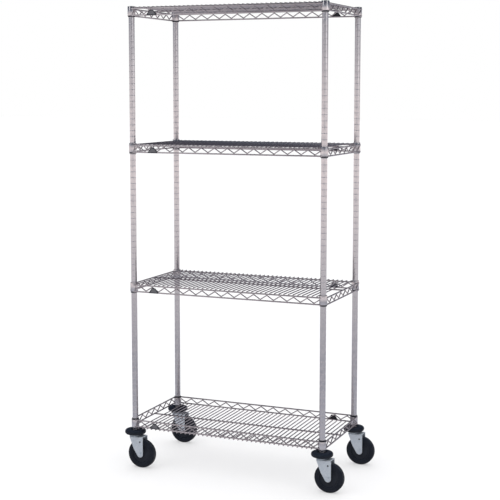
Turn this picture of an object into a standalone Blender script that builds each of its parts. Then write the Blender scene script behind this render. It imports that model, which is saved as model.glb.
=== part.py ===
"""Mobile wire shelving rack: four grooved posts, four wire shelves and four swivel stem casters."""

import math

import bmesh
import bpy
from mathutils import Matrix, Vector

# Driving dimensions in metres. X runs along the shelves, -Y is the front and Z = 0 is the floor.
GAP = 0.0003
POST_SPACING_X = 0.878
POST_SPACING_Y = 0.425
POST_RADIUS = 0.0127
POST_WALL = 0.0015
POST_TOP = 2.0215
CAP_RISE = 0.0025

# A shelf's level is the outer face of its mat. The bottom shelf hangs upside down as a tray.
SHELF_LEVELS = {"shelf_1": 2.0210, "shelf_2": 1.4368, "shelf_3": 0.8272}
TRAY_LEVEL = 0.1776
ROD = 0.00635
TRUSS_HEIGHT = 0.02800 + ROD
TRUSS_OUTBOARD_Y = 0.0129
TRUSS_OUTBOARD_X = 0.0146
ZIGZAG_WIRE = 0.0048
ZIGZAG_PERIOD = 0.0607
MAT_WIRE = 0.0048
MAT_PITCH = 0.0208
MAT_WIRES = 41

# Each corner of a shelf is a tapered collar, wedged on the post by a tapered sleeve.
COLLAR_RADIUS = 0.0170
COLLAR_ABOVE_MAT = 0.0020
COLLAR_HEIGHT = 0.0390
COLLAR_WALL_WIDE_END = 0.0013
SLEEVE_TAPER = 0.0008
SLEEVE_SHOWN = 0.0060
SLEEVE_SLIT = math.radians(10)

BADGE_WIDTH = 0.050
BADGE_TOP_WIDTH = 0.016
BADGE_HEIGHT = 0.023
BADGE_THICKNESS = 0.0015
BADGE_FROM_POST = 0.104

BUMPER_RADIUS = 0.0465
BUMPER_THICKNESS = 0.020
BUMPER_BOTTOM = 0.150
FLANGE_RADIUS = 0.024
FLANGE_THICKNESS = 0.0032
STEM_RADIUS = 0.0106
STEM_TOP = 0.215

WHEEL_RADIUS = 0.0635
WHEEL_TRAIL = 0.033
TYRE_HALF_WIDTH = 0.016
TYRE_CORNER = 0.008
TYRE_INNER_RADIUS = 0.0450
HUB_HALF_WIDTH = 0.0195
AXLE_RADIUS = 0.0047
AXLE_HEAD_RADIUS = 0.0080
AXLE_HEAD_HEIGHT = 0.0050

FORK_OUTER_HALF_WIDTH = 0.0240
FORK_PLATE = 0.0030
FORK_TOP = 0.1430
FORK_FRONT = -0.0180
FORK_ELBOW = (0.0020, 0.0870)
FORK_END_RADIUS = 0.0140
RACEWAY_RADIUS = 0.0270
BRAKE_HOLE_RADIUS = 0.0038
BRAKE_HOLE_HEIGHT = 0.1190

TUBE_SEGMENTS = 10
BUMPER_SEGMENTS = 12
WHEEL_SEGMENTS = 20
HUB_SEGMENTS = 10
SMALL_SEGMENTS = 8

# The wheels trail past one end of the rack, so the posts stand off centre by half of that.
RACK_X = -(WHEEL_TRAIL + WHEEL_RADIUS - BUMPER_RADIUS) / 2
CORNERS = {
    "front_left": (-1, -1),
    "front_right": (1, -1),
    "rear_left": (-1, 1),
    "rear_right": (1, 1),
}

# Heights inside one upright shelf, measured from its level downwards.
ROD_TOP = -(MAT_WIRE + GAP)
TRUSS_BOTTOM = ROD_TOP - TRUSS_HEIGHT
COLLAR_BOTTOM = COLLAR_ABOVE_MAT - COLLAR_HEIGHT
SLEEVE_BOTTOM = COLLAR_BOTTOM - SLEEVE_SHOWN
SLEEVE_WIDE_RADIUS = COLLAR_RADIUS - COLLAR_WALL_WIDE_END - 0.0006


def clear_scene():
    for item in list(bpy.data.objects):
        bpy.data.objects.remove(item, do_unlink=True)


def principled(name, colour, roughness, metallic):
    material = bpy.data.materials.new(name)
    material.use_nodes = True
    shader = material.node_tree.nodes["Principled BSDF"]
    shader.inputs["Base Color"].default_value = (*colour, 1.0)
    shader.inputs["Roughness"].default_value = roughness
    shader.inputs["Metallic"].default_value = metallic
    return material


def mesh_from(bm, name):
    bmesh.ops.recalc_face_normals(bm, faces=bm.faces)
    mesh = bpy.data.meshes.new(name)
    bm.to_mesh(mesh)
    bm.free()
    return mesh


def lathe(name, profile, segments, hollow, first=0.0, slit=0.0):
    """Turn (radius, height) points about Z; a hollow profile is a closed loop, a solid one is capped."""
    bm = bmesh.new()
    angles = [first + i * math.tau / segments for i in range(segments)]
    if slit:
        angles[0] += slit / 2
        angles.append(first + math.tau - slit / 2)
    rings = []
    for angle in angles:
        direction = Vector((math.cos(angle), math.sin(angle), 0.0))
        rings.append([bm.verts.new(direction * r + Vector((0.0, 0.0, z))) for r, z in profile])
    spans = len(angles) - 1 if slit else len(angles)
    rows = len(profile) if hollow else len(profile) - 1
    for i in range(spans):
        here = rings[i]
        following = rings[(i + 1) % len(rings)]
        for j in range(rows):
            k = (j + 1) % len(profile)
            bm.faces.new((here[j], following[j], following[k], here[k]))
    if not hollow:
        bm.faces.new([ring[0] for ring in rings])
        bm.faces.new([ring[-1] for ring in rings])
    if slit:
        bm.faces.new(rings[0])
        bm.faces.new(rings[-1])
    return mesh_from(bm, name)


def prism(name, outline, holes, thickness):
    """Extrude an outline in the XZ plane, with holes, evenly to both sides along Y."""
    bm = bmesh.new()
    for loop in [outline, *holes]:
        verts = [bm.verts.new((x, -thickness / 2, z)) for x, z in loop]
        for a, b in zip(verts, verts[1:] + verts[:1]):
            bm.edges.new((a, b))
    bmesh.ops.triangle_fill(bm, use_beauty=True, use_dissolve=False, edges=bm.edges)
    sheet = bmesh.ops.extrude_face_region(bm, geom=bm.faces[:], use_keep_orig=True)
    moved = [item for item in sheet["geom"] if isinstance(item, bmesh.types.BMVert)]
    bmesh.ops.translate(bm, verts=moved, vec=(0.0, thickness, 0.0))
    return mesh_from(bm, name)


def box(name, low, high):
    bm = bmesh.new()
    size = [b - a for a, b in zip(low, high)]
    middle = [(a + b) / 2 for a, b in zip(low, high)]
    matrix = Matrix.Translation(middle) @ Matrix.Diagonal((*size, 1.0))
    bmesh.ops.create_cube(bm, size=1.0, matrix=matrix)
    return mesh_from(bm, name)


def combined(name, pieces):
    """Gather (mesh, matrix) pieces into one mesh."""
    bm = bmesh.new()
    for mesh, matrix in pieces:
        copy = mesh.copy()
        copy.transform(matrix)
        bm.from_mesh(copy)
        bpy.data.meshes.remove(copy)
    return mesh_from(bm, name)


def boolean(mesh, other, operation):
    """Return the exact union or difference of two meshes as a new mesh."""
    scene = bpy.context.scene
    body = bpy.data.objects.new("boolean_body", mesh)
    tool = bpy.data.objects.new("boolean_tool", other)
    scene.collection.objects.link(body)
    scene.collection.objects.link(tool)
    modifier = body.modifiers.new("combine", "BOOLEAN")
    modifier.operation = operation
    modifier.solver = "EXACT"
    modifier.object = tool
    depsgraph = bpy.context.evaluated_depsgraph_get()
    result = bpy.data.meshes.new_from_object(body.evaluated_get(depsgraph))
    bpy.data.objects.remove(body)
    bpy.data.objects.remove(tool)
    return result


def place(name, mesh, material, location=(0.0, 0.0, 0.0), turn=(0.0, 0.0, 0.0), parent=None, smooth=False):
    mesh.materials.clear()
    mesh.materials.append(material)
    if smooth:
        mesh.shade_smooth()
        mesh.set_sharp_from_angle(angle=math.radians(40))
    item = bpy.data.objects.new(name, mesh)
    item.location = location
    item.rotation_euler = turn
    item.parent = parent
    bpy.context.scene.collection.objects.link(item)
    return item


def empty(name, location, parent=None):
    item = bpy.data.objects.new(name, None)
    item.location = location
    item.parent = parent
    bpy.context.scene.collection.objects.link(item)
    return item


def post_position(corner):
    side_x, side_y = CORNERS[corner]
    return RACK_X + side_x * POST_SPACING_X / 2, side_y * POST_SPACING_Y / 2


def post_mesh():
    inner = POST_RADIUS - POST_WALL
    low = BUMPER_BOTTOM
    profile = [(inner, low), (POST_RADIUS, low), (POST_RADIUS, POST_TOP), (inner, POST_TOP)]
    return lathe("post", profile, TUBE_SEGMENTS, hollow=True)


def cap_mesh():
    """Domed plug whose skirt drops into the top of the tube."""
    plug = POST_RADIUS - POST_WALL - GAP
    profile = [
        (plug, -0.012),
        (plug, GAP),
        (POST_RADIUS, GAP),
        (POST_RADIUS * 0.9, CAP_RISE * 0.6),
        (POST_RADIUS * 0.5, CAP_RISE),
    ]
    return lathe("post_cap", profile, TUBE_SEGMENTS, hollow=False)


def truss_mesh(name, length):
    """One side of a shelf: two rods with a zigzag wire between them, along X and hanging from Z = 0."""
    half_periods = round(2 * length / ZIGZAG_PERIOD)
    step = length / half_periods
    rise = TRUSS_HEIGHT - ROD
    across = (ZIGZAG_WIRE / 2) * math.hypot(step, rise) / rise
    inset = (ROD / 2) / rise * step + across
    low = -TRUSS_HEIGHT + ROD
    high = -ROD
    weld = 0.0005
    windows = []
    for k in range(1, half_periods):
        middle = -length / 2 + k * step
        base, apex = (low, high - weld) if k % 2 else (high, low + weld)
        windows.append([(middle - step + inset, base), (middle + step - inset, base), (middle, apex)])
    half = length / 2
    outline = [(-half, -TRUSS_HEIGHT), (half, -TRUSS_HEIGHT), (half, 0.0), (-half, 0.0)]
    return prism(name, outline, windows, ROD)


def collar_cone(name, bottom_radius, top_radius, bottom, top):
    return lathe(name, [(bottom_radius, bottom), (top_radius, top)], TUBE_SEGMENTS, hollow=False)


def at_corners(mesh):
    """Copies of one mesh on the four post centres of a shelf."""
    pieces = []
    for side_x, side_y in CORNERS.values():
        centre = (side_x * POST_SPACING_X / 2, side_y * POST_SPACING_Y / 2, 0.0)
        pieces.append((mesh, Matrix.Translation(centre)))
    return pieces


def frame_mesh():
    """Shelf frame about its level: four trusses, a middle strut and four bored collars."""
    truss_end = 0.006
    long_truss = truss_mesh("long_truss", POST_SPACING_X - 2 * truss_end)
    short_truss = truss_mesh("short_truss", POST_SPACING_Y - 2 * truss_end)
    front_y = POST_SPACING_Y / 2 + TRUSS_OUTBOARD_Y
    side_x = POST_SPACING_X / 2 + TRUSS_OUTBOARD_X
    quarter_turn = Matrix.Rotation(math.radians(90), 4, "Z")
    trusses = combined("trusses", [
        (long_truss, Matrix.Translation((0.0, -front_y, ROD_TOP))),
        (long_truss, Matrix.Translation((0.0, front_y, ROD_TOP))),
        (short_truss, Matrix.Translation((-side_x, 0.0, ROD_TOP)) @ quarter_turn),
        (short_truss, Matrix.Translation((side_x, 0.0, ROD_TOP)) @ quarter_turn),
    ])
    collar = collar_cone("collar", COLLAR_RADIUS, COLLAR_RADIUS, COLLAR_BOTTOM, COLLAR_ABOVE_MAT)
    strut_top = ROD_TOP - 0.0002
    strut = box("strut", (-side_x, -ROD / 2, strut_top - ROD), (side_x, ROD / 2, strut_top))
    solids = combined("solids", [*at_corners(collar), (strut, Matrix.Identity(4))])
    wide = COLLAR_RADIUS - COLLAR_WALL_WIDE_END
    over = 0.004
    bore = collar_cone("bore", wide, wide - SLEEVE_TAPER, COLLAR_BOTTOM - over, COLLAR_ABOVE_MAT + over)
    bores = combined("bores", at_corners(bore))
    return boolean(boolean(trusses, solids, "UNION"), bores, "DIFFERENCE")


def mat_mesh():
    """Mat wires as one snaking wire of square section, which turns back on the front and rear rods."""
    half = MAT_WIRE / 2
    reach = POST_SPACING_Y / 2 + TRUSS_OUTBOARD_Y + ROD / 2 - half
    path = []
    for i in range(MAT_WIRES):
        x = (i - (MAT_WIRES - 1) / 2) * MAT_PITCH
        ends = (-reach, reach) if i % 2 == 0 else (reach, -reach)
        path += [Vector((x, y)) for y in ends]
    headings = [(b - a).normalized() for a, b in zip(path, path[1:])]
    sides = [Vector((-heading.y, heading.x)) * half for heading in headings]
    mitres = [sides[0], *[a + b for a, b in zip(sides, sides[1:])], sides[-1]]
    left = [point + mitre for point, mitre in zip(path, mitres)]
    right = [point - mitre for point, mitre in zip(path, mitres)]
    outline = [(point.x, point.y) for point in left + right[::-1]]
    mesh = prism("mat", outline, [], MAT_WIRE)
    mesh.transform(Matrix.Translation((0.0, 0.0, -half)) @ Matrix.Rotation(math.radians(-90), 4, "X"))
    return mesh


def sleeve_mesh():
    """Split cone between post and collar; its wide end shows beyond the collar."""
    inner = POST_RADIUS + GAP
    top = COLLAR_ABOVE_MAT - 0.001
    profile = [
        (inner, SLEEVE_BOTTOM),
        (SLEEVE_WIDE_RADIUS, SLEEVE_BOTTOM),
        (SLEEVE_WIDE_RADIUS - SLEEVE_TAPER, top),
        (inner, top),
    ]
    return lathe("sleeve", profile, TUBE_SEGMENTS, hollow=True, slit=SLEEVE_SLIT)


def badge_mesh():
    outline = [
        (-BADGE_WIDTH / 2, 0.0),
        (BADGE_WIDTH / 2, 0.0),
        (BADGE_TOP_WIDTH / 2, BADGE_HEIGHT),
        (-BADGE_TOP_WIDTH / 2, BADGE_HEIGHT),
    ]
    return prism("badge", outline, [], BADGE_THICKNESS)


def bumper_mesh():
    """Donut bumper with a bore for the foot of the post."""
    half = BUMPER_THICKNESS / 2
    bore = POST_RADIUS + 0.0008
    profile = [(bore, BUMPER_BOTTOM)]
    for degrees in (-90, -45, 0, 45, 90):
        angle = math.radians(degrees)
        radius = BUMPER_RADIUS - half + half * math.cos(angle)
        profile.append((radius, BUMPER_BOTTOM + half + half * math.sin(angle)))
    profile.append((bore, BUMPER_BOTTOM + BUMPER_THICKNESS))
    return lathe("bumper", profile, BUMPER_SEGMENTS, hollow=True)


def stem_mesh():
    """Caster stem inside the post, on a flange that carries the bumper and the post."""
    flange_top = BUMPER_BOTTOM - GAP
    profile = [
        (FLANGE_RADIUS, flange_top - FLANGE_THICKNESS),
        (FLANGE_RADIUS, flange_top),
        (STEM_RADIUS, flange_top),
        (STEM_RADIUS, STEM_TOP - 0.004),
        (STEM_RADIUS * 0.7, STEM_TOP),
    ]
    return lathe("stem", profile, TUBE_SEGMENTS, hollow=False)


def cross_pin(radius, x, z, half_length):
    """Round bar along Y, used to pierce both legs of a fork."""
    mesh = lathe("cross_pin", [(radius, -half_length), (radius, half_length)], SMALL_SEGMENTS, hollow=False)
    mesh.transform(Matrix.Translation((x, 0.0, z)) @ Matrix.Rotation(math.radians(90), 4, "X"))
    return mesh


def fork_mesh():
    """Stamped fork about the swivel axis: crown, raceway and two legs that lean back to the axle."""
    sweep = [math.radians(-145 + 29 * i) for i in range(6)]
    outline = [(FORK_FRONT, FORK_TOP), FORK_ELBOW]
    for angle in sweep:
        x = WHEEL_TRAIL + FORK_END_RADIUS * math.cos(angle)
        outline.append((x, WHEEL_RADIUS + FORK_END_RADIUS * math.sin(angle)))
    outline.append((WHEEL_TRAIL + FORK_END_RADIUS, FORK_TOP))
    body = prism("fork", outline, [], 2 * FORK_OUTER_HALF_WIDTH)
    inner = FORK_OUTER_HALF_WIDTH - FORK_PLATE
    slot = box("slot", (-0.05, -inner, 0.0), (0.10, inner, FORK_TOP - FORK_PLATE))
    body = boolean(body, slot, "DIFFERENCE")
    race_top = BUMPER_BOTTOM - FLANGE_THICKNESS - 2 * GAP
    race = lathe(
        "race",
        [(RACEWAY_RADIUS, FORK_TOP - FORK_PLATE / 2), (RACEWAY_RADIUS, race_top)],
        BUMPER_SEGMENTS,
        hollow=False,
    )
    body = boolean(body, race, "UNION")
    bolt_hole = cross_pin(AXLE_RADIUS + 0.0007, WHEEL_TRAIL, WHEEL_RADIUS, 0.05)
    brake_hole = cross_pin(BRAKE_HOLE_RADIUS, WHEEL_TRAIL, BRAKE_HOLE_HEIGHT, 0.05)
    holes = combined("holes", [(bolt_hole, Matrix.Identity(4)), (brake_hole, Matrix.Identity(4))])
    return boolean(body, holes, "DIFFERENCE")


def tyre_mesh():
    """Tread about Z with rounded shoulders; a flat of the polygon, not a corner, meets the floor."""
    flat_to_corner = 1 / math.cos(math.pi / WHEEL_SEGMENTS)
    half = [(TYRE_INNER_RADIUS, TYRE_HALF_WIDTH)]
    for degrees in (90, 45, 0):
        angle = math.radians(degrees)
        radius = WHEEL_RADIUS - TYRE_CORNER + TYRE_CORNER * math.cos(angle)
        half.append((radius, TYRE_HALF_WIDTH - TYRE_CORNER + TYRE_CORNER * math.sin(angle)))
    outline = half + [(radius, -height) for radius, height in reversed(half)]
    profile = [(radius * flat_to_corner, height) for radius, height in reversed(outline)]
    return lathe("tyre", profile, WHEEL_SEGMENTS, hollow=True, first=math.pi / WHEEL_SEGMENTS)


def hub_mesh():
    bore = AXLE_RADIUS + 0.0005
    rim = TYRE_INNER_RADIUS - GAP
    half = [(bore, HUB_HALF_WIDTH), (0.013, HUB_HALF_WIDTH), (0.016, 0.012), (rim, 0.012)]
    outline = half + [(radius, -height) for radius, height in reversed(half)]
    return lathe("hub", outline[::-1], HUB_SEGMENTS, hollow=True)


def axle_mesh():
    """Hexagon bolt and nut across the fork."""
    under_head = FORK_OUTER_HALF_WIDTH + GAP
    end = under_head + AXLE_HEAD_HEIGHT
    profile = [
        (AXLE_HEAD_RADIUS, -end),
        (AXLE_HEAD_RADIUS, -under_head),
        (AXLE_RADIUS, -under_head),
        (AXLE_RADIUS, under_head),
        (AXLE_HEAD_RADIUS, under_head),
        (AXLE_HEAD_RADIUS, end),
    ]
    return lathe("axle", profile, 6, hollow=False)


def add_posts(chrome, black):
    post = post_mesh()
    cap = cap_mesh()
    for corner in CORNERS:
        x, y = post_position(corner)
        place(f"post_{corner}", post, chrome, (x, y, 0.0), smooth=True)
        place(f"post_cap_{corner}", cap, black, (x, y, POST_TOP), smooth=True)


def add_shelves(chrome, black):
    frame = frame_mesh()
    mat = mat_mesh()
    sleeve = sleeve_mesh()
    badge = badge_mesh()
    upside_down = (math.pi, 0.0, 0.0)
    badge_y = -(POST_SPACING_Y / 2 + TRUSS_OUTBOARD_Y + ROD / 2 + GAP + BADGE_THICKNESS / 2)
    badge_x = RACK_X - POST_SPACING_X / 2 + BADGE_FROM_POST
    shelves = [(name, level, (0.0, 0.0, 0.0), level + TRUSS_BOTTOM) for name, level in SHELF_LEVELS.items()]
    shelves.append(("shelf_4", TRAY_LEVEL, upside_down, TRAY_LEVEL - ROD_TOP))
    for name, level, turn, lower_rod in shelves:
        place(f"{name}_frame", frame, chrome, (RACK_X, 0.0, level), turn)
        place(f"{name}_mat", mat, chrome, (RACK_X, 0.0, level), turn)
        place(f"{name}_badge", badge, black, (badge_x, badge_y, lower_rod + 0.001))
        for corner in CORNERS:
            x, y = post_position(corner)
            place(f"{name}_sleeve_{corner}", sleeve, black, (x, y, level), turn, smooth=True)


def add_casters(zinc, rubber, plastic):
    bumper = bumper_mesh()
    stem = stem_mesh()
    fork = fork_mesh()
    tyre = tyre_mesh()
    hub = hub_mesh()
    axle = axle_mesh()
    across = (math.radians(90), 0.0, 0.0)
    for corner in CORNERS:
        x, y = post_position(corner)
        place(f"caster_{corner}_bumper", bumper, rubber, (x, y, 0.0), smooth=True)
        place(f"caster_{corner}_stem", stem, zinc, (x, y, 0.0), smooth=True)
        swivel = empty(f"swivel_{corner}", (x, y, 0.0))
        place(f"caster_{corner}_fork", fork, zinc, parent=swivel)
        spin = empty(f"spin_{corner}", (WHEEL_TRAIL, 0.0, WHEEL_RADIUS), swivel)
        place(f"caster_{corner}_axle", axle, zinc, turn=across, parent=spin)
        place(f"caster_{corner}_hub", hub, plastic, turn=across, parent=spin, smooth=True)
        place(f"caster_{corner}_tyre", tyre, rubber, turn=across, parent=spin, smooth=True)


def main():
    clear_scene()
    chrome = principled("chrome_plated_steel", (0.62, 0.61, 0.61), 0.22, 1.0)
    zinc = principled("zinc_plated_steel", (0.55, 0.58, 0.61), 0.38, 1.0)
    black = principled("black_plastic", (0.03, 0.035, 0.045), 0.45, 0.0)
    plastic = principled("wheel_core_plastic", (0.03, 0.034, 0.045), 0.50, 0.0)
    rubber = principled("black_rubber", (0.020, 0.024, 0.032), 0.70, 0.0)
    add_posts(chrome, black)
    add_shelves(chrome, black)
    add_casters(zinc, rubber, plastic)


main()
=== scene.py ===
"""Looks of the wire shelving rack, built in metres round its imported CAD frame."""

import math

import bmesh
import bpy
from mathutils import Matrix, Vector


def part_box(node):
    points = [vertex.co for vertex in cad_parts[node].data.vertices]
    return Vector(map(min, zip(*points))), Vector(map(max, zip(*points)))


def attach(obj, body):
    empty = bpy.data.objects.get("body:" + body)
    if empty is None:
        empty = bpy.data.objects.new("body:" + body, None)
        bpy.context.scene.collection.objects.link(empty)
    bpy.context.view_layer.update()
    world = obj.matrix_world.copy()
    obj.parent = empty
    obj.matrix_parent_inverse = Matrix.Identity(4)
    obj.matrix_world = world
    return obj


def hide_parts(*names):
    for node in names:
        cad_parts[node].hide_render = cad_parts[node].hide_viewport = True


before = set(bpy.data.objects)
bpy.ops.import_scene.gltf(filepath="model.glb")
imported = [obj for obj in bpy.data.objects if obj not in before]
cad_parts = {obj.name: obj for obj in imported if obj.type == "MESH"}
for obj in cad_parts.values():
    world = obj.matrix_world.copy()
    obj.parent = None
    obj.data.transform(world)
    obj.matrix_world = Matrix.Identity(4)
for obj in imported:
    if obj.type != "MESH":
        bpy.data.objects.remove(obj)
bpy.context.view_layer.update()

CORNERS = ("front_left", "front_right", "rear_left", "rear_right")
UPRIGHT_SHELVES = ("shelf_1", "shelf_2", "shelf_3")
TRAY = "shelf_4"


def middle(node):
    """Centre of a CAD node's box."""
    low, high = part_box(node)
    return (low + high) / 2


def extent(node):
    """Sides of a CAD node's box."""
    low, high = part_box(node)
    return high - low


# Places and sizes read from the CAD frame.
POSTS = {corner: middle(f"post_{corner}").to_2d() for corner in CORNERS}
RACK = sum(POSTS.values(), Vector((0.0, 0.0))) / len(POSTS)
HALF_X = POSTS["front_right"].x - RACK.x
HALF_Y = POSTS["rear_left"].y - RACK.y
POST_RADIUS = extent("post_front_left").x / 2
POST_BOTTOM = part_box("post_front_left")[0].z
POST_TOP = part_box("post_front_left")[1].z
CAP_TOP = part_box("post_cap_front_left")[1].z
LEVELS = {shelf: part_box(f"{shelf}_mat")[1].z for shelf in UPRIGHT_SHELVES}
LEVELS[TRAY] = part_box(f"{TRAY}_mat")[0].z
MAT_WIRE = extent("shelf_1_mat").z
TRUSS_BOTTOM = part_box("shelf_1_frame")[0].z - LEVELS["shelf_1"]
COLLAR_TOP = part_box("shelf_1_frame")[1].z - LEVELS["shelf_1"]
SLEEVE_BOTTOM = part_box("shelf_1_sleeve_front_left")[0].z - LEVELS["shelf_1"]
BUMPER_RADIUS = extent("caster_front_left_bumper").x / 2
BUMPER_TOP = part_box("caster_front_left_bumper")[1].z
FLANGE_BOTTOM, STEM_TOP = (corner.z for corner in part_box("caster_front_left_stem"))
FORK_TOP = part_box("caster_front_left_fork")[1].z
WHEEL = middle("caster_front_left_tyre") - POSTS["front_left"].to_3d()
WHEEL_RADIUS = WHEEL.z
TYRE_HALF_WIDTH = extent("caster_front_left_tyre").y / 2
HUB_HALF_WIDTH = extent("caster_front_left_hub").y / 2

# Post details in metres. The groove's section is in half widths across and whole depths.
GROOVE_PITCH = 0.0254
GROOVE_FIRST = 0.1722
GROOVE_WIDTH = 0.0020
GROOVE_DEPTH = 0.0002
GROOVE_SIDE = ((-2, 0), (-1.2, 0), (-0.9, 0.2), (-0.5, 0.8))
GROOVE_SECTION = (*GROOVE_SIDE, (0, 1), *((-across, depth) for across, depth in reversed(GROOVE_SIDE)))
POST_WALL = 0.0015
POST_PLAIN_END = 0.0020
CAP_PLUG = 0.0120
CAP_PLUG_CLEARANCE = 0.0002
CAP_PLUG_BEVEL = (0.0008, 0.0010)
CAP_DOME_FILLET = 0.0040

# Shelf details in metres. Welded parts sink into each other by WELD; a bead's radius is WELD_BEAD.
WELD = 0.0001
WELD_BEAD = 0.0009
ROD = 0.00635
ROD_TOP = WELD - MAT_WIRE
ROD_PAST_X = extent("shelf_1_frame").x / 2 - HALF_X - ROD / 2
ROD_PAST_Y = 0.0129
STRUT_SHORT_OF_ROD = ROD * 0.4
ZIGZAG_WIRE = 0.0048
ZIGZAG_PERIOD = 0.0607
ZIGZAG_BEND = 0.0050
TRUSS_END = 0.0060
MAT_PITCH = 0.0208
MAT_WIRES = 41
MAT_PAST_ROD = ROD * 0.45
COLLAR_RADIUS = 0.0170
COLLAR_TOP_RADIUS = 0.0165
COLLAR_HEIGHT = 0.0390
COLLAR_BITE = 0.0162
COLLAR_RIM = 0.0006
COLLAR_BORE_RIM = 0.0004
SLEEVE_RADIUS = 0.0151
SLEEVE_TAPER = 0.0008
SLEEVE_CLEARANCE = 0.0003
SLEEVE_BELOW_COLLAR_TOP = 0.0008
SLEEVE_LIP = 0.0004
SLEEVE_LIP_HEIGHT = 0.0024
SLEEVE_LIP_SLOPE = 0.00072
SLEEVE_SLIT = math.radians(2)
BADGE_TAPER = 0.32
BADGE_FOOT_FILLET = 0.0020
BADGE_TOP_FILLET = 0.0040
BADGE_RIM = 0.0028
BADGE_EDGE = 0.0003
BADGE_RIM_SLOPE = 0.0004
BADGE_SUNK = 0.0005

# Caster details in metres, about the swivel axis. FORK_SHOULDER and FORK_ELBOW are (x, height, fillet), and
# the corners of HUB_WEB (radius, half width, fillet). BUMPER_RECESS gives the radii of its rim and floor,
# TYRE_RING the distances from the bore to the ends of its slope, and BOLT_CHAMFER (inwards, along).
BUMPER_FILLET = 0.0090
BUMPER_RECESS = (0.0205, 0.0185)
BUMPER_RECESS_DEPTH = 0.0035
MOULD_LINE = 0.0002
FLANGE_RADIUS = 0.0240
FLANGE_CLEARANCE = 0.0003
STEM_RADIUS = 0.0106
STEM_TIP = 0.0030
FORK_HALF_WIDTH = 0.0240
FORK_PLATE = 0.0030
FORK_BEND = 0.0060
FORK_CROWN = 0.1430
FORK_FRONT = -0.0180
FORK_SHOULDER = (FORK_FRONT, FORK_CROWN - 0.0040, 0.020)
FORK_ELBOW = (0.0020, 0.0870, 0.040)
FORK_END = 0.0140
FORK_EDGE = 0.0005
CHANNEL_ENDS = (-0.060, 0.110)
CUTTER_REACH = 0.010
CUTTER_HALF_WIDTH = 0.040
HOLE_HALF_LENGTH = 0.050
AXLE_HOLE_CLEARANCE = 0.0006
BRAKE_HOLE_RADIUS = 0.0038
BRAKE_HOLE_HEIGHT = 0.1190
RACEWAY_RADIUS = 0.0270
RIVET_RADIUS = 0.0090
RIVET_HEIGHT = 0.0040
TYRE_BORE = 0.0448
TYRE_SHOULDER = 0.0075
TYRE_RING = (0.0030, 0.0036)
TYRE_RING_DEPTH = 0.0006
TYRE_CROWN = 0.0002
HUB_RADIUS = 0.0447
HUB_BOSS_RADIUS = 0.0130
HUB_WEB = ((0.0150, 0.0105, 0.0020), (0.0397, 0.0095, 0.0015))
HUB_RIM_WIDTH = 0.0032
HUB_RIM_HALF = 0.0148
AXLE_RADIUS = 0.0047
WASHER_RADIUS = 0.0091
WASHER = 0.0009
BOLT_HEAD_RADIUS = 0.0080
BOLT_HEAD_HEIGHT = 0.0050
NUT_SHORTER = 0.0012
BOLT_CHAMFER = (0.0010, 0.0008)

# Radius of the small flat face that closes a turned shape at its axis.
TIP_RADIUS = 0.001

# The camera, in metres and in millimetres of lens.
CAMERA_PLACE = (2.055, -4.890, 1.665)
CAMERA_TILT = math.radians(83.71)
CAMERA_TURN = math.radians(23.17)
CAMERA_LENS = 87.8
CAMERA_SHIFT = (0.015, -0.05)

# Studio: half the floor's side, the ceiling's strength and spread, and the soft boxes by place and power.
FLOOR_REACH = 60.0
CEILING_STRENGTH = 4.4
CEILING_SPREAD = math.radians(120)
SOFT_BOX_SIZE = 2.0
SOFT_BOXES = {"key": ((-2.8, -3.8, 3.4), 14.0), "fill": ((4.2, -1.5, 2.6), 8.0)}

# Greys of the screens round the studio, by the sine of the height above the horizon.
SCREENS = (
    (-1.00, (0.56, 0.53, 0.54)),
    (-0.45, (0.50, 0.49, 0.52)),
    (-0.30, (0.54, 0.56, 0.64)),
    (-0.23, (0.26, 0.27, 0.32)),
    (-0.14, (0.66, 0.65, 0.68)),
    (-0.05, (1.02, 0.92, 0.92)),
    (0.01, (0.72, 0.68, 0.69)),
    (0.06, (0.26, 0.29, 0.35)),
    (0.13, (0.08, 0.10, 0.14)),
    (0.30, (0.08, 0.08, 0.10)),
    (1.00, (0.10, 0.10, 0.12)),
)

ALONG_X = Matrix(((0, 0, 1, 0), (1, 0, 0, 0), (0, 1, 0, 0), (0, 0, 0, 1)))
ALONG_Y = Matrix.Rotation(math.radians(90), 4, "X")
STAY = Matrix.Identity(4)


# ---------------------------------------------------------------- mesh tools


def filleted(corners, steps=4):
    """Points of an outline whose (x, y, radius) corners are rounded by arcs."""
    points = []
    count = len(corners)
    for i, (x, y, radius) in enumerate(corners):
        corner = Vector((x, y))
        if radius == 0.0:
            points.append(corner)
            continue
        back = (Vector(corners[i - 1][:2]) - corner).normalized()
        ahead = (Vector(corners[(i + 1) % count][:2]) - corner).normalized()
        half = back.angle(ahead) / 2
        reach = radius / math.tan(half)
        centre = corner + (back + ahead).normalized() * (radius / math.sin(half))
        start = corner + back * reach - centre
        finish = corner + ahead * reach - centre
        turn = math.atan2(start.cross(finish), start.dot(finish))
        for k in range(steps + 1):
            angle = turn * k / steps
            cosine, sine = math.cos(angle), math.sin(angle)
            spoke = Vector((start.x * cosine - start.y * sine, start.x * sine + start.y * cosine))
            points.append(centre + spoke)
    return points


def turned(bm, profile, segments, loop=False, matrix=STAY, first=0.0, sweep=math.tau):
    """Turn (radius, height) points about Z: a loop closes on itself, any other profile is capped."""
    whole = sweep == math.tau
    columns = []
    for i in range(segments if whole else segments + 1):
        angle = first + sweep * i / segments
        across = Vector((math.cos(angle), math.sin(angle), 0.0))
        column = [bm.verts.new(matrix @ (across * r + Vector((0.0, 0.0, z)))) for r, z in profile]
        columns.append(column)
    rows = len(profile) if loop else len(profile) - 1
    for i in range(segments):
        here = columns[i]
        following = columns[(i + 1) % len(columns)]
        for j in range(rows):
            k = (j + 1) % len(profile)
            bm.faces.new((here[j], following[j], following[k], here[k]))
    if not loop:
        bm.faces.new([column[0] for column in columns])
        bm.faces.new([column[-1] for column in columns])
    if not whole:
        bm.faces.new(columns[0])
        bm.faces.new(columns[-1])


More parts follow.
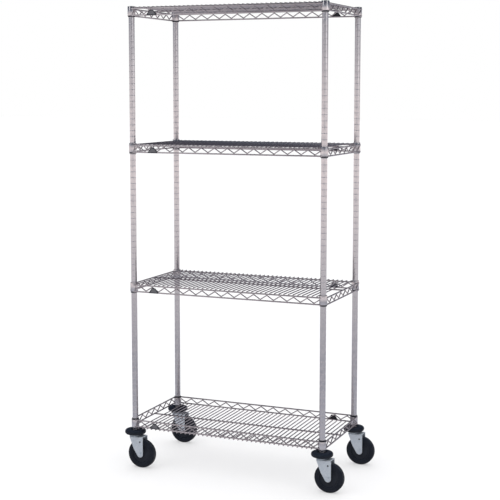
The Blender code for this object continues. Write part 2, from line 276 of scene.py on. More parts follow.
def circle(bm, centre, across, beside, radius, sides, matrix=STAY):
    """Ring of vertices round a centre, in the plane of two unit vectors."""
    ring = []
    for k in range(sides):
        angle = math.tau * k / sides
        spoke = across * math.cos(angle) + beside * math.sin(angle)
        ring.append(bm.verts.new(matrix @ (centre + spoke * radius)))
    return ring


def bridge(bm, rings, loop=False):
    """Join rings of vertices by faces: a loop closes on itself, any other row of rings is capped."""
    ahead = rings[1:] + rings[:1] if loop else rings[1:]
    for here, following in zip(rings, ahead):
        for k in range(len(here)):
            after = (k + 1) % len(here)
            bm.faces.new((here[k], here[after], following[after], following[k]))
    if not loop:
        bm.faces.new(rings[0])
        bm.faces.new(rings[-1])


def wire(bm, path, radius, sides, rim=0.0006):
    """Round wire along a path of points, with the rims of its ends rounded over."""
    headings = [(b - a).normalized() for a, b in zip(path, path[1:])]
    bends = [(a + b).normalized() for a, b in zip(headings, headings[1:])]
    stations = list(zip(path[1:-1], bends, [radius] * len(bends)))
    for degrees in (90, 45, 0):
        angle = math.radians(degrees)
        inward = rim * (1 - math.cos(angle))
        narrow = radius - rim + rim * math.sin(angle)
        stations.insert(0, (path[0] + headings[0] * inward, headings[0], narrow))
        stations.append((path[-1] - headings[-1] * inward, headings[-1], narrow))
    across = headings[0].orthogonal().normalized()
    rings = []
    for centre, tangent, size in stations:
        across = (across - tangent * across.dot(tangent)).normalized()
        rings.append(circle(bm, centre, across, tangent.cross(across), size, sides))
    bridge(bm, rings)


def prism(bm, outline, low, high, matrix):
    """Extrude an outline of the local XY plane from low to high along local Z."""
    rings = []
    for height in (low, high):
        rings.append([bm.verts.new(matrix @ Vector((x, y, height))) for x, y in outline])
    bridge(bm, rings)


def inset(outline, distance):
    """Move a closed counter-clockwise outline inwards."""
    moved = []
    count = len(outline)
    for i, point in enumerate(outline):
        before = (point - outline[i - 1]).normalized()
        after = (outline[(i + 1) % count] - point).normalized()
        along = (before + after).normalized()
        widen = 1 / max(0.5, along.dot(after))
        moved.append(point + Vector((-along.y, along.x)) * distance * widen)
    return moved


def to_mesh(bm, name, sharp=35):
    """Finished mesh, shaded smooth except across edges sharper than an angle in degrees."""
    bmesh.ops.recalc_face_normals(bm, faces=bm.faces)
    mesh = bpy.data.meshes.new(name)
    bm.to_mesh(mesh)
    bm.free()
    mesh.shade_smooth()
    mesh.set_sharp_from_angle(angle=math.radians(sharp))
    return mesh


def modified(mesh, kind, **settings):
    """Return the mesh with one modifier applied."""
    scene = bpy.context.scene
    holder = bpy.data.objects.new("holder", mesh)
    scene.collection.objects.link(holder)
    modifier = holder.modifiers.new("step", kind)
    for key, value in settings.items():
        setattr(modifier, key, value)
    depsgraph = bpy.context.evaluated_depsgraph_get()
    result = bpy.data.meshes.new_from_object(holder.evaluated_get(depsgraph))
    bpy.data.objects.remove(holder)
    return result


def boolean(mesh, tool_mesh, operation):
    """Return what is left of the mesh after a DIFFERENCE or INTERSECT with a tool."""
    tool = bpy.data.objects.new("tool", tool_mesh)
    bpy.context.scene.collection.objects.link(tool)
    result = modified(mesh, "BOOLEAN", object=tool, operation=operation, solver="EXACT")
    bpy.data.objects.remove(tool)
    return result


# ---------------------------------------------------------------- materials


def new_material(name):
    """Material with its node tree, its shader and a socket of the piece's own coordinates."""
    material = bpy.data.materials.new(name)
    material.use_nodes = True
    tree = material.node_tree
    shader = tree.nodes["Principled BSDF"]
    where = tree.nodes.new("ShaderNodeTexCoord").outputs["Object"]
    return material, tree, shader, where


def noise(tree, where, scale, detail=3.0):
    """Soft noise round 0.5; the scale is in waves per metre."""
    texture = tree.nodes.new("ShaderNodeTexNoise")
    texture.inputs["Scale"].default_value = scale
    texture.inputs["Detail"].default_value = detail
    tree.links.new(where, texture.inputs["Vector"])
    return texture.outputs[0]


def cells(tree, where, scale):
    """One random value per crystal of a mosaic; the scale is in crystals per metre."""
    texture = tree.nodes.new("ShaderNodeTexVoronoi")
    texture.inputs["Scale"].default_value = scale
    tree.links.new(where, texture.inputs["Vector"])
    shade = tree.nodes.new("ShaderNodeSeparateColor")
    tree.links.new(texture.outputs["Color"], shade.inputs[0])
    return shade.outputs[0]


def remap(tree, value, low, high, to_low, to_high):
    """Carry a value from one range to another, and stop at its ends."""
    node = tree.nodes.new("ShaderNodeMapRange")
    for socket, number in zip(node.inputs[1:5], (low, high, to_low, to_high)):
        socket.default_value = number
    tree.links.new(value, node.inputs[0])
    return node.outputs[0]


def blend_colours(tree, factor, first, second):
    """Mix two colours; each is an RGB triple or a colour socket."""
    node = tree.nodes.new("ShaderNodeMix")
    node.data_type = "RGBA"
    tree.links.new(factor, node.inputs[0])
    for socket, colour in ((node.inputs[6], first), (node.inputs[7], second)):
        if isinstance(colour, tuple):
            socket.default_value = (*colour, 1.0)
        else:
            tree.links.new(colour, socket)
    return node.outputs[2]


def arithmetic(tree, operation, *values):
    """Arithmetic on sockets and numbers."""
    node = tree.nodes.new("ShaderNodeMath")
    node.operation = operation
    for socket, value in zip(node.inputs, values):
        if isinstance(value, float):
            socket.default_value = value
        else:
            tree.links.new(value, socket)
    return node.outputs[0]


def emboss(tree, shader, height, depth):
    """Raise the shader's surface by a height socket, up to a depth in metres."""
    bump = tree.nodes.new("ShaderNodeBump")
    bump.inputs["Strength"].default_value = 1.0
    bump.inputs["Distance"].default_value = depth
    tree.links.new(height, bump.inputs["Height"])
    tree.links.new(bump.outputs[0], shader.inputs["Normal"])


def chrome_plating(name, dark, light):
    """Bright plating: slight tint and haze in patches, and a faint ripple of the steel under it."""
    material, tree, shader, where = new_material(name)
    patches = noise(tree, where, 14.0)
    tree.links.new(blend_colours(tree, patches, dark, light), shader.inputs["Base Color"])
    haze = noise(tree, where, 60.0)
    tree.links.new(remap(tree, haze, 0.3, 0.7, 0.14, 0.24), shader.inputs["Roughness"])
    emboss(tree, shader, noise(tree, where, 120.0), 0.00002)
    shader.inputs["Metallic"].default_value = 1.0
    return material


def lit_chrome():
    """Posts and collars: the same chrome as the wire with a lighter colour, which is painted light."""
    return chrome_plating("lit_chrome", (0.72, 0.70, 0.71), (0.82, 0.79, 0.79))


def shaded_chrome():
    """Wire and rod: the same chrome as the posts with a darker colour, which is painted shade."""
    return chrome_plating("shaded_chrome", (0.60, 0.56, 0.57), (0.72, 0.67, 0.68))


def zinc_plating():
    """Satin zinc: fine spangle, a blue cast and a slightly uneven surface."""
    material, tree, shader, where = new_material("zinc_plating")
    spangle = cells(tree, where, 320.0)
    tint = blend_colours(tree, spangle, (0.56, 0.62, 0.68), (0.66, 0.71, 0.76))
    tree.links.new(tint, shader.inputs["Base Color"])
    tree.links.new(remap(tree, spangle, 0.0, 1.0, 0.38, 0.50), shader.inputs["Roughness"])
    emboss(tree, shader, noise(tree, where, 900.0), 0.00005)
    shader.inputs["Metallic"].default_value = 0.6
    return material


def moulded(name, dark, light, rough, grain, depth):
    """Moulded plastic or rubber: cloudy colour, uneven dull gloss and a fine grain."""
    material, tree, shader, where = new_material(name)
    cloud = remap(tree, noise(tree, where, 45.0), 0.3, 0.7, 0.0, 1.0)
    colour = blend_colours(tree, cloud, dark, light)
    tree.links.new(colour, shader.inputs["Base Color"])
    gloss = noise(tree, where, 160.0)
    tree.links.new(remap(tree, gloss, 0.3, 0.7, *rough), shader.inputs["Roughness"])
    emboss(tree, shader, noise(tree, where, grain, 5.0), depth)
    shader.inputs["Specular IOR Level"].default_value = 0.25
    return material, tree, shader, where, colour


def black_plastic():
    """Caps, sleeves and the badges' rims."""
    dark, light = (0.016, 0.018, 0.024), (0.030, 0.032, 0.040)
    return moulded("black_plastic", dark, light, rough=(0.34, 0.48), grain=1500.0, depth=0.00008)[0]


def badge_field():
    """Faded grey paint in the middle of a badge."""
    dark, light = (0.100, 0.100, 0.110), (0.150, 0.148, 0.160)
    return moulded("badge_field", dark, light, rough=(0.30, 0.42), grain=900.0, depth=0.00004)[0]


def wheel_core():
    """Hard black core of a wheel."""
    dark, light = (0.008, 0.011, 0.018), (0.015, 0.019, 0.028)
    return moulded("wheel_core", dark, light, rough=(0.42, 0.56), grain=1100.0, depth=0.00010)[0]


def bumper_rubber():
    """Soft black bumper."""
    dark, light = (0.005, 0.008, 0.015), (0.010, 0.014, 0.023)
    return moulded("bumper_rubber", dark, light, rough=(0.42, 0.56), grain=1300.0, depth=0.00008)[0]


def tyre_rubber():
    """Tread rubber, dusty and a little paler where it rolls on the floor."""
    dark, light = (0.004, 0.007, 0.013), (0.009, 0.012, 0.020)
    made = moulded("tyre_rubber", dark, light, rough=(0.46, 0.60), grain=1000.0, depth=0.00012)
    material, tree, shader, where, colour = made
    axes = tree.nodes.new("ShaderNodeSeparateXYZ")
    tree.links.new(where, axes.inputs[0])
    across = arithmetic(tree, "MULTIPLY", axes.outputs[0], axes.outputs[0])
    upwards = arithmetic(tree, "MULTIPLY", axes.outputs[2], axes.outputs[2])
    radius = arithmetic(tree, "SQRT", arithmetic(tree, "ADD", across, upwards))
    tread = remap(tree, radius, WHEEL_RADIUS - 0.0015, WHEEL_RADIUS, 0.0, 0.5)
    clouds = remap(tree, noise(tree, where, 90.0), 0.4, 0.7, 0.2, 1.0)
    dust = arithmetic(tree, "MULTIPLY", tread, clouds)
    tree.links.new(blend_colours(tree, dust, colour, (0.040, 0.043, 0.050)), shader.inputs["Base Color"])
    return material


def studio_floor():
    """Pale sheet lit from below as well as from above, which keeps the shadows on it faint."""
    material, tree, shader, where = new_material("studio_floor")
    tint = blend_colours(tree, noise(tree, where, 0.8), (0.40, 0.40, 0.405), (0.42, 0.42, 0.42))
    tree.links.new(tint, shader.inputs["Base Color"])
    emboss(tree, shader, noise(tree, where, 60.0), 0.0002)
    shader.inputs["Roughness"].default_value = 0.8
    shader.inputs["Emission Color"].default_value = (1.0, 1.0, 1.0, 1.0)
    shader.inputs["Emission Strength"].default_value = 0.45
    return material


# Each finish is a material and the record's slot that it stands for.
FINISHES = {
    "tube": (lit_chrome(), "chrome_steel"),
    "wire": (shaded_chrome(), "chrome_steel"),
    "plate": (zinc_plating(), "zinc_steel"),
    "plastic": (black_plastic(), "black_plastic"),
    "core": (wheel_core(), "wheel_core"),
    "bumper": (bumper_rubber(), "bumper_rubber"),
    "tyre": (tyre_rubber(), "tyre_rubber"),
}


def piece(name, mesh, finish, body, nodes, matrix):
    """Put a mesh in place, give it its finish, and let it ride on a body for its CAD nodes."""
    material, slot = FINISHES[finish]
    if not mesh.materials:
        mesh.materials.append(material)
    item = bpy.data.objects.new(name, mesh)
    bpy.context.scene.collection.objects.link(item)
    item.matrix_world = matrix
    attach(item, body)
    if nodes:
        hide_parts(*nodes)


# ---------------------------------------------------------------- posts


def post_mesh():
    """Tube with a ring groove at every step, its inner wall plain."""
    half = GROOVE_WIDTH / 2
    outer = [(POST_RADIUS, POST_BOTTOM)]
    height = GROOVE_FIRST
    while height + half < POST_TOP - POST_PLAIN_END:
        for across, depth in GROOVE_SECTION:
            outer.append((POST_RADIUS - GROOVE_DEPTH * depth, height + half * across))
        height += GROOVE_PITCH
    outer.append((POST_RADIUS, POST_TOP))
    inner = POST_RADIUS - POST_WALL
    profile = outer + [(inner, POST_TOP), (inner, POST_BOTTOM)]
    bm = bmesh.new()
    turned(bm, profile, 32, loop=True)
    return to_mesh(bm, "post", 60)


def cap_mesh():
    """Plug in the top of the tube, with a low dome over the rim."""
    plug = POST_RADIUS - POST_WALL - CAP_PLUG_CLEARANCE
    bevel_in, bevel_up = CAP_PLUG_BEVEL
    dome = CAP_TOP - POST_TOP
    corners = [
        (plug - bevel_in, -CAP_PLUG, 0.0),
        (plug, bevel_up - CAP_PLUG, 0.0),
        (plug, CAP_PLUG_CLEARANCE, 0.0),
        (POST_RADIUS, CAP_PLUG_CLEARANCE, 0.0),
        (POST_RADIUS, dome * 0.55, dome * 0.3),
        (POST_RADIUS * 0.80, dome, CAP_DOME_FILLET),
        (TIP_RADIUS, dome, 0.0),
    ]
    bm = bmesh.new()
    turned(bm, filleted(corners), 48)
    return to_mesh(bm, "post_cap")


def add_posts():
    """Post and cap at each corner."""
    post = post_mesh()
    cap = cap_mesh()
    for corner, place in POSTS.items():
        at_post = Matrix.Translation((*place, 0.0))
        piece(f"grooved_post_{corner}", post, "tube", "rack", [f"post_{corner}"], at_post)
        at_top = Matrix.Translation((*place, POST_TOP))
        piece(f"domed_cap_{corner}", cap, "plastic", "rack", [f"post_cap_{corner}"], at_top)


# ---------------------------------------------------------------- shelves


def shelf_sides():
    """Frame of each side, half its run between posts, and how far its rods pass outside the posts."""
    for quarter in range(4):
        lengthways = quarter % 2 == 0
        run = HALF_X if lengthways else HALF_Y
        out = HALF_Y if lengthways else HALF_X
        past = ROD_PAST_Y if lengthways else ROD_PAST_X
        turn = Matrix.Rotation(math.radians(90 * quarter), 4, "Z")
        yield turn @ Matrix.Translation((0.0, out, 0.0)), run, past


def rod_end(run, past, height, end, radius, steps):
    """Points round a rod along X where it meets a collar of this radius, and the spokes out to them."""
    points = []
    for k in range(steps):
        angle = math.tau * k / steps
        spoke = Vector((0.0, math.cos(angle), math.sin(angle)))
        y = past + ROD / 2 * spoke.y
        z = height + ROD / 2 * spoke.z
        notch = math.sqrt(max(0.0, radius**2 - y**2))
        points.append((Vector((end * (run - notch), y, z)), spoke))
    return points


def coped_rod(bm, matrix, run, past, height):
    """Rod along X from post to post, its ends cut to the collars that it runs past."""
    rings = []
    for end in (-1, 1):
        points = rod_end(run, past, height, end, COLLAR_BITE, 16)
        rings.append([bm.verts.new(matrix @ point) for point, _ in points])
    bridge(bm, rings)


def weld_bead(bm, matrix, run, past, height, end):
    """Bead of weld round one end of a rod, along the line where it meets the collar."""
    line = rod_end(run, past, height, end, COLLAR_RADIUS, 24)
    rings = []
    for k, (point, spoke) in enumerate(line):
        along = (line[(k + 1) % len(line)][0] - line[k - 1][0]).normalized()
        outward = (spoke - along * spoke.dot(along)).normalized()
        rings.append(circle(bm, point, outward, along.cross(outward), WELD_BEAD, 8, matrix))
    bridge(bm, rings, loop=True)


def zigzag_path(matrix, run, past):
    """Centre line of the wire that zigzags between the rods, clipped inside the collars' walls."""
    length = 2 * (run - TRUSS_END)
    turns = round(2 * length / ZIGZAG_PERIOD)
    step = length / turns
    high = ROD_TOP - ROD - ZIGZAG_WIRE / 2 + WELD
    low = TRUSS_BOTTOM + ROD + ZIGZAG_WIRE / 2 - WELD
    slope = math.atan2(high - low, step)
    lift = ZIGZAG_BEND * (1 / math.cos(slope) - 1)
    corners = []
    for k in range(turns + 1):
        z = low - lift if k % 2 else high + lift
        corners.append((k * step - length / 2, z, ZIGZAG_BEND))
    notch = math.sqrt(COLLAR_BITE**2 - past**2)
    inside = (notch - TRUSS_END) / step
    clipped = []
    for near, far in ((corners[0], corners[1]), (corners[-1], corners[-2])):
        x = near[0] + (far[0] - near[0]) * inside
        z = near[1] + (far[1] - near[1]) * inside
        clipped.append((x, z, 0.0))
    outline = filleted([clipped[0], *corners[1:-1], clipped[1]])
    return [matrix @ Vector((x, past, z)) for x, z in outline]


def rods_mesh():
    """Upper and lower rods of the four sides and the strut under the middle of the mat."""
    bm = bmesh.new()
    for matrix, run, past in shelf_sides():
        for height in (ROD_TOP - ROD / 2, TRUSS_BOTTOM + ROD / 2):
            coped_rod(bm, matrix, run, past, height)
            weld_bead(bm, matrix, run, past, height, -1)
            weld_bead(bm, matrix, run, past, height, 1)
    reach = HALF_X + ROD_PAST_X - STRUT_SHORT_OF_ROD
    height = ROD_TOP - ROD / 2
    wire(bm, [Vector((-reach, 0.0, height)), Vector((reach, 0.0, height))], ROD / 2, 16)
    return to_mesh(bm, "shelf_rods")


def zigzag_mesh():
    """Bent wires of the four trusses."""
    bm = bmesh.new()
    for matrix, run, past in shelf_sides():
        wire(bm, zigzag_path(matrix, run, past), ZIGZAG_WIRE / 2, 12)
    return to_mesh(bm, "shelf_zigzags")


def mat_mesh():
    """Straight wires from the front rod to the rear rod, side by side along the shelf."""
    reach = HALF_Y + ROD_PAST_Y + MAT_PAST_ROD
    bm = bmesh.new()
    for i in range(MAT_WIRES):
        x = (i - (MAT_WIRES - 1) / 2) * MAT_PITCH
        ends = [Vector((x, -reach, -MAT_WIRE / 2)), Vector((x, reach, -MAT_WIRE / 2))]
        wire(bm, ends, MAT_WIRE / 2, 12)
    return to_mesh(bm, "shelf_mat")


def collars_mesh():
    """Four tapered collars with rounded rims, open at both ends."""
    bottom = COLLAR_TOP - COLLAR_HEIGHT
    bore = SLEEVE_RADIUS + SLEEVE_CLEARANCE
    corners = [
        (COLLAR_RADIUS, bottom, COLLAR_RIM),
        (COLLAR_TOP_RADIUS, COLLAR_TOP, COLLAR_RIM),
        (bore - SLEEVE_TAPER, COLLAR_TOP, COLLAR_BORE_RIM),
        (bore, bottom, COLLAR_BORE_RIM),
    ]
    profile = filleted(corners)
    bm = bmesh.new()
    for place in POSTS.values():
        turned(bm, profile, 40, loop=True, matrix=Matrix.Translation((*(place - RACK), 0.0)))
    return to_mesh(bm, "shelf_collars")


def sleeve_mesh():
    """Two half cones that close on the post, their wide end showing beyond the collar."""
    inner = POST_RADIUS + 0.0001
    top = COLLAR_TOP - SLEEVE_BELOW_COLLAR_TOP
    lip = SLEEVE_RADIUS + SLEEVE_LIP
    lip_top = SLEEVE_BOTTOM + SLEEVE_LIP_HEIGHT
    corners = [
        (inner, SLEEVE_BOTTOM, 0.0),
        (lip, SLEEVE_BOTTOM, 0.0007),
        (lip, lip_top, 0.0004),
        (SLEEVE_RADIUS - 0.0001, lip_top + SLEEVE_LIP_SLOPE, 0.0),
        (SLEEVE_RADIUS - SLEEVE_TAPER, top, 0.0005),
        (inner, top, 0.0),
    ]
    profile = filleted(corners)
    bm = bmesh.new()
    for half in (0, 1):
        first = half * math.pi + SLEEVE_SLIT / 2
        turned(bm, profile, 24, loop=True, first=first, sweep=math.pi - SLEEVE_SLIT)
    return to_mesh(bm, "split_sleeve")


def badge_mesh(width, height, thickness):
    """Plate with a raised dark rim round a blank grey field, its back at Y = 0, facing -Y."""
    foot = width / 2
    top = foot * BADGE_TAPER
    corners = [
        (-foot, 0.0, BADGE_FOOT_FILLET),
        (foot, 0.0, BADGE_FOOT_FILLET),
        (top, height, BADGE_TOP_FILLET),
        (-top, height, BADGE_TOP_FILLET),
    ]
    outline = filleted(corners, 5)
    steps = [
        (0.0, 0.0),
        (0.0, thickness - BADGE_EDGE),
        (BADGE_EDGE, thickness),
        (BADGE_RIM, thickness),
        (BADGE_RIM + BADGE_RIM_SLOPE, thickness - BADGE_SUNK),
    ]
    bm = bmesh.new()
    rings = []
    for distance, depth in steps:
        rings.append([bm.verts.new((x, -depth, z)) for x, z in inset(outline, distance)])
    bridge(bm, rings)
    mesh = to_mesh(bm, "badge")
    mesh.materials.append(FINISHES["plastic"][0])
    mesh.materials.append(badge_field())
    mesh.polygons[-1].material_index = 1
    return mesh


def add_badges(badge, shelf):
    """The front badge takes the CAD plate's place; the rear one faces backwards near the other end."""
    node = f"{shelf}_badge"
    low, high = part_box(node)
    front = Matrix.Translation(((low.x + high.x) / 2, high.y, low.z))
    piece(f"{shelf}_badge_front", badge, "plastic", "rack", [node], front)
    about = Matrix.Translation((*RACK, 0.0))
    rear = about @ Matrix.Rotation(math.pi, 4, "Z") @ about.inverted() @ front
    piece(f"{shelf}_badge_rear", badge, "plastic", "rack", [], rear)


def add_shelves():
    """The same shelf at each level, turned over at the bottom to make the tray."""
    rods = rods_mesh()
    zigzags = zigzag_mesh()
    mat = mat_mesh()
    collars = collars_mesh()
    sleeve = sleeve_mesh()
    plate = extent("shelf_1_badge")
    badge = badge_mesh(plate.x, plate.z, plate.y)
    for shelf, level in LEVELS.items():
        over = Matrix.Rotation(math.pi if shelf == TRAY else 0.0, 4, "X")
        place = Matrix.Translation((*RACK, level)) @ over
        piece(f"{shelf}_rods", rods, "wire", "rack", [f"{shelf}_frame"], place)
        piece(f"{shelf}_zigzags", zigzags, "wire", "rack", [f"{shelf}_frame"], place)
        piece(f"{shelf}_collars", collars, "tube", "rack", [f"{shelf}_frame"], place)
        piece(f"{shelf}_mat_wires", mat, "wire", "rack", [f"{shelf}_mat"], place)
        for corner, post in POSTS.items():
            on_post = Matrix.Translation((*post, level)) @ over
            node = f"{shelf}_sleeve_{corner}"
            piece(f"{shelf}_split_sleeve_{corner}", sleeve, "plastic", "rack", [node], on_post)
        add_badges(badge, shelf)


# ---------------------------------------------------------------- casters


def bumper_mesh():
    """Donut with a recess for the foot of the post and a fine mould line round its rim."""
    bore = POST_RADIUS + 0.0003
    bottom = POST_BOTTOM
    centre = (bottom + BUMPER_TOP) / 2
    rim, floor = BUMPER_RECESS
    recess = BUMPER_TOP - BUMPER_RECESS_DEPTH
    corners = [
        (bore, bottom, 0.0),
        (BUMPER_RADIUS, bottom, BUMPER_FILLET),
        (BUMPER_RADIUS, centre - 0.0007, 0.0),
        (BUMPER_RADIUS + MOULD_LINE, centre - 0.0003, 0.0),
        (BUMPER_RADIUS + MOULD_LINE, centre + 0.0003, 0.0),
        (BUMPER_RADIUS, centre + 0.0007, 0.0),
        (BUMPER_RADIUS, BUMPER_TOP, BUMPER_FILLET),
        (rim, BUMPER_TOP, 0.0012),
        (floor, recess, 0.0010),
        (bore, recess, 0.0),
    ]
    bm = bmesh.new()
    turned(bm, filleted(corners, 8), 72, loop=True)
    return to_mesh(bm, "bumper")


def stem_mesh():
    """Stem inside the post on its round flange."""
    flange_top = POST_BOTTOM - FLANGE_CLEARANCE
    corners = [
        (TIP_RADIUS, FLANGE_BOTTOM, 0.0),
        (FLANGE_RADIUS, FLANGE_BOTTOM, 0.0008),
        (FLANGE_RADIUS, flange_top, 0.0010),
        (STEM_RADIUS, flange_top, 0.0),
        (STEM_RADIUS, STEM_TOP, STEM_TIP),
        (TIP_RADIUS, STEM_TOP, 0.0),
    ]
    bm = bmesh.new()
    turned(bm, filleted(corners), 48)
    return to_mesh(bm, "stem")


def fork_channel():
    """Plate bent down on both sides, as a channel along X that is longer than the fork."""
    outer = FORK_HALF_WIDTH
    inner = outer - FORK_PLATE
    under = FORK_CROWN - FORK_PLATE
    corners = [
        (-outer, 0.0, 0.0),
        (-inner, 0.0, 0.0),
        (-inner, under, FORK_BEND - FORK_PLATE),
        (inner, under, FORK_BEND - FORK_PLATE),
        (inner, 0.0, 0.0),
        (outer, 0.0, 0.0),
        (outer, FORK_CROWN, FORK_BEND),
        (-outer, FORK_CROWN, FORK_BEND),
    ]
    bm = bmesh.new()
    prism(bm, filleted(corners, 6), *CHANNEL_ENDS, ALONG_X)
    return to_mesh(bm, "channel")


def fork_side():
    """Side outline of the fork as a thick slab across it."""
    axle = Vector((WHEEL.x, WHEEL.z))
    above = FORK_CROWN + CUTTER_REACH
    arc = []
    for i in range(17):
        angle = math.radians(-150 + 150 * i / 16)
        arc.append(axle + Vector((math.cos(angle), math.sin(angle))) * FORK_END)
    front = [(FORK_FRONT, above, 0.0), FORK_SHOULDER, FORK_ELBOW, (*arc[0], 0.0)]
    outline = filleted(front, 6) + arc[1:]
    outline.append(Vector((axle.x + FORK_END, above)))
    bm = bmesh.new()
    prism(bm, outline, -CUTTER_HALF_WIDTH, CUTTER_HALF_WIDTH, ALONG_Y)
    return to_mesh(bm, "side")


def cross_hole(bm, radius, x, z):
    """Cutter for a hole through both sides of the fork."""
    matrix = Matrix.Translation((x, 0.0, z)) @ ALONG_Y
    turned(bm, [(radius, -HOLE_HALF_LENGTH), (radius, HOLE_HALF_LENGTH)], 24, matrix=matrix)


def fork_mesh():
    """Pressed fork with softened edges, holes for the axle and an unused pair for a brake."""
    plate = boolean(fork_channel(), fork_side(), "INTERSECT")
    bm = bmesh.new()
    cross_hole(bm, AXLE_RADIUS + AXLE_HOLE_CLEARANCE, WHEEL.x, WHEEL.z)
    cross_hole(bm, BRAKE_HOLE_RADIUS, WHEEL.x, BRAKE_HOLE_HEIGHT)
    plate = boolean(plate, to_mesh(bm, "holes"), "DIFFERENCE")
    corners = {"limit_method": "ANGLE", "angle_limit": math.radians(40)}
    plate = modified(plate, "BEVEL", width=FORK_EDGE, segments=2, **corners)
    plate.shade_smooth()
    plate.set_sharp_from_angle(angle=math.radians(35))
    return plate


def raceway_mesh():
    """Round ball race on the crown of the fork, and the rivet head under it."""
    seat = FORK_CROWN - 0.0004
    race = [
        (TIP_RADIUS, seat, 0.0),
        (RACEWAY_RADIUS - 0.0015, seat, 0.0008),
        (RACEWAY_RADIUS, FORK_CROWN + 0.0010, 0.0010),
        (RACEWAY_RADIUS - 0.0012, FORK_TOP, 0.0008),
        (TIP_RADIUS, FORK_TOP, 0.0),
    ]
    root = FORK_CROWN - FORK_PLATE + 0.0002
    face = FORK_CROWN - FORK_PLATE - RIVET_HEIGHT
    rivet = [
        (TIP_RADIUS + 0.0005, face, 0.0),
        (RIVET_RADIUS - 0.0015, face + 0.0006, 0.0025),
        (RIVET_RADIUS, root, 0.0),
        (TIP_RADIUS, root, 0.0),
    ]
    bm = bmesh.new()
    turned(bm, filleted(race), 64)
    turned(bm, filleted(rivet), 32)
    return to_mesh(bm, "raceway")


def symmetrical(half):
    """Profile corners on one side of a wheel, followed by the same on the other side."""
    return half + [(radius, -height, fillet) for radius, height, fillet in reversed(half)]


def tyre_mesh():
    """Solid tread with rounded shoulders, a mould line and a shallow ring on each wall."""
    width = TYRE_HALF_WIDTH
    ring, wall = TYRE_RING
    half = [
        (TYRE_BORE, width - TYRE_RING_DEPTH, 0.0004),
        (TYRE_BORE + ring, width - TYRE_RING_DEPTH, 0.0),
        (TYRE_BORE + wall, width, 0.0004),
        (WHEEL_RADIUS - TYRE_CROWN, width, TYRE_SHOULDER),
        (WHEEL_RADIUS, 0.0005, 0.0),
    ]
    bm = bmesh.new()
    turned(bm, filleted(symmetrical(half), 6), 96, loop=True, matrix=ALONG_Y)
    return to_mesh(bm, "tyre")


def hub_mesh():
    """Moulded core: a boss at the axle, a dished web and a raised rim inside the tread."""
    half = [
        (AXLE_RADIUS + 0.0004, HUB_HALF_WIDTH, 0.0),
        (HUB_BOSS_RADIUS, HUB_HALF_WIDTH, 0.0010),
        *HUB_WEB,
        (HUB_RADIUS - HUB_RIM_WIDTH, HUB_RIM_HALF, 0.0008),
        (HUB_RADIUS, HUB_RIM_HALF, 0.0006),
    ]
    bm = bmesh.new()
    turned(bm, filleted(symmetrical(half)), 64, loop=True, matrix=ALONG_Y)
    return to_mesh(bm, "hub")


def axle_mesh():
    """Hexagon bolt with washers and nut across the fork, about the middle of the axle."""
    face = FORK_HALF_WIDTH + 0.0001
    tip = face + BOLT_HEAD_HEIGHT
    seat = -face - WASHER
    shank = [
        (TIP_RADIUS / 2, -face, 0.0),
        (AXLE_RADIUS, -face, 0.0),
        (AXLE_RADIUS, tip, 0.0008),
        (TIP_RADIUS / 2, tip, 0.0),
    ]
    washer = [
        (AXLE_RADIUS, seat),
        (WASHER_RADIUS - 0.0003, seat),
        (WASHER_RADIUS, seat + WASHER / 2),
        (WASHER_RADIUS - 0.0003, -face),
        (AXLE_RADIUS, -face),
    ]
    chamfer_in, chamfer_up = BOLT_CHAMFER
    bm = bmesh.new()
    turned(bm, filleted(shank), 24, matrix=ALONG_Y)
    for end, shorter in ((-1, NUT_SHORTER), (1, 0.0)):
        side = Matrix.Scale(end, 4, (0.0, 1.0, 0.0)) @ ALONG_Y
        outer = seat - (BOLT_HEAD_HEIGHT - WASHER - shorter)
        hexagon = [
            (TIP_RADIUS, seat),
            (BOLT_HEAD_RADIUS, seat),
            (BOLT_HEAD_RADIUS, outer + chamfer_up),
            (BOLT_HEAD_RADIUS - chamfer_in, outer),
            (TIP_RADIUS, outer),
        ]
        turned(bm, washer, 32, loop=True, matrix=side)
        turned(bm, hexagon, 6, matrix=side)
    return to_mesh(bm, "axle")


def add_casters():
    """The same caster at each corner, its fork and its wheel on bodies of their own."""
    bumper = bumper_mesh()
    stem = stem_mesh()
    fork = fork_mesh()
    raceway = raceway_mesh()
    tyre = tyre_mesh()
    hub = hub_mesh()
    axle = axle_mesh()
    for corner, post in POSTS.items():
        name = f"caster_{corner}"
        on_post = Matrix.Translation((*post, 0.0))
        at_wheel = on_post @ Matrix.Translation(WHEEL)
        piece(f"{name}_donut", bumper, "bumper", "rack", [f"{name}_bumper"], on_post)
        piece(f"{name}_stem_flange", stem, "plate", "rack", [f"{name}_stem"], on_post)
        piece(f"{name}_pressed_fork", fork, "plate", f"{name}_fork", [f"{name}_fork"], on_post)
        piece(f"{name}_raceway", raceway, "plate", f"{name}_fork", [f"{name}_fork"], on_post)
        piece(f"{name}_bolt", axle, "plate", f"{name}_fork", [f"{name}_axle"], at_wheel)
        piece(f"{name}_core", hub, "core", f"{name}_wheel", [f"{name}_hub"], at_wheel)
        piece(f"{name}_tread", tyre, "tyre", f"{name}_wheel", [f"{name}_tyre"], at_wheel)


# ---------------------------------------------------------------- studio


def add_floor():
    """Pale floor that the chrome doesn't mirror, as if it stood among grey screens."""
    bm = bmesh.new()
    bmesh.ops.create_grid(bm, x_segments=1, y_segments=1, size=FLOOR_REACH)
    floor = bpy.data.objects.new("studio_floor", to_mesh(bm, "studio_floor"))
    floor.data.materials.append(studio_floor())
    floor.visible_glossy = False
    bpy.context.scene.collection.objects.link(floor)


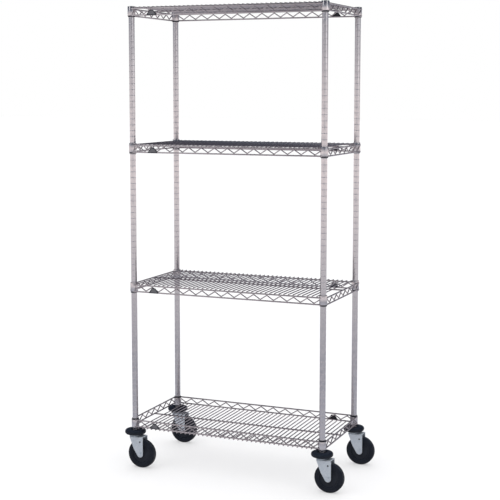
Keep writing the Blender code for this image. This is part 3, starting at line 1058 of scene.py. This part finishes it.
def add_world():
    """White seen behind the object, and bands of grey for the chrome to reflect."""
    world = bpy.data.worlds.new("studio")
    world.use_nodes = True
    bpy.context.scene.world = world
    tree = world.node_tree
    screens = tree.nodes["Background"]
    where = tree.nodes.new("ShaderNodeTexCoord")
    axes = tree.nodes.new("ShaderNodeSeparateXYZ")
    tree.links.new(where.outputs["Generated"], axes.inputs[0])
    ramp = tree.nodes.new("ShaderNodeValToRGB")
    for _ in SCREENS[2:]:
        ramp.color_ramp.elements.new(0.5)
    for element, (slope, colour) in zip(ramp.color_ramp.elements, SCREENS):
        element.position = (slope + 1) / 2
        element.color = (*colour, 1.0)
    tree.links.new(remap(tree, axes.outputs[2], -1.0, 1.0, 0.0, 1.0), ramp.inputs[0])
    tree.links.new(ramp.outputs[0], screens.inputs[0])
    white = tree.nodes.new("ShaderNodeBackground")
    white.inputs[0].default_value = (1.0, 1.0, 1.0, 1.0)
    mix = tree.nodes.new("ShaderNodeMixShader")
    seen = tree.nodes.new("ShaderNodeLightPath")
    tree.links.new(seen.outputs["Is Camera Ray"], mix.inputs[0])
    tree.links.new(screens.outputs[0], mix.inputs[1])
    tree.links.new(white.outputs[0], mix.inputs[2])
    tree.links.new(mix.outputs[0], tree.nodes["World Output"].inputs[0])


def add_ceiling_light():
    """Even light from all over the ceiling, for the floor and the matt parts only."""
    data = bpy.data.lights.new("ceiling", "SUN")
    data.energy = CEILING_STRENGTH
    data.angle = CEILING_SPREAD
    item = bpy.data.objects.new("ceiling", data)
    item.visible_glossy = False
    bpy.context.scene.collection.objects.link(item)


def add_soft_boxes():
    """Square lights aimed at the middle of the rack."""
    for name, (place, power) in SOFT_BOXES.items():
        data = bpy.data.lights.new(name, "AREA")
        data.size = SOFT_BOX_SIZE
        data.energy = power
        item = bpy.data.objects.new(name, data)
        item.location = place
        aim = Vector((0.0, 0.0, CAP_TOP / 2)) - Vector(place)
        item.rotation_euler = aim.to_track_quat("-Z", "Y").to_euler()
        bpy.context.scene.collection.objects.link(item)


def add_camera():
    """Camera at the front right, as high as a person's eyes."""
    data = bpy.data.cameras.new("camera")
    data.lens = CAMERA_LENS
    data.shift_x, data.shift_y = CAMERA_SHIFT
    camera = bpy.data.objects.new("camera", data)
    camera.location = CAMERA_PLACE
    camera.rotation_euler = (CAMERA_TILT, 0.0, CAMERA_TURN)
    bpy.context.scene.collection.objects.link(camera)
    bpy.context.scene.camera = camera


add_posts()
add_shelves()
add_casters()
add_floor()
add_world()
add_ceiling_light()
add_soft_boxes()
add_camera()
bpy.context.scene.view_settings.view_transform = "Standard"
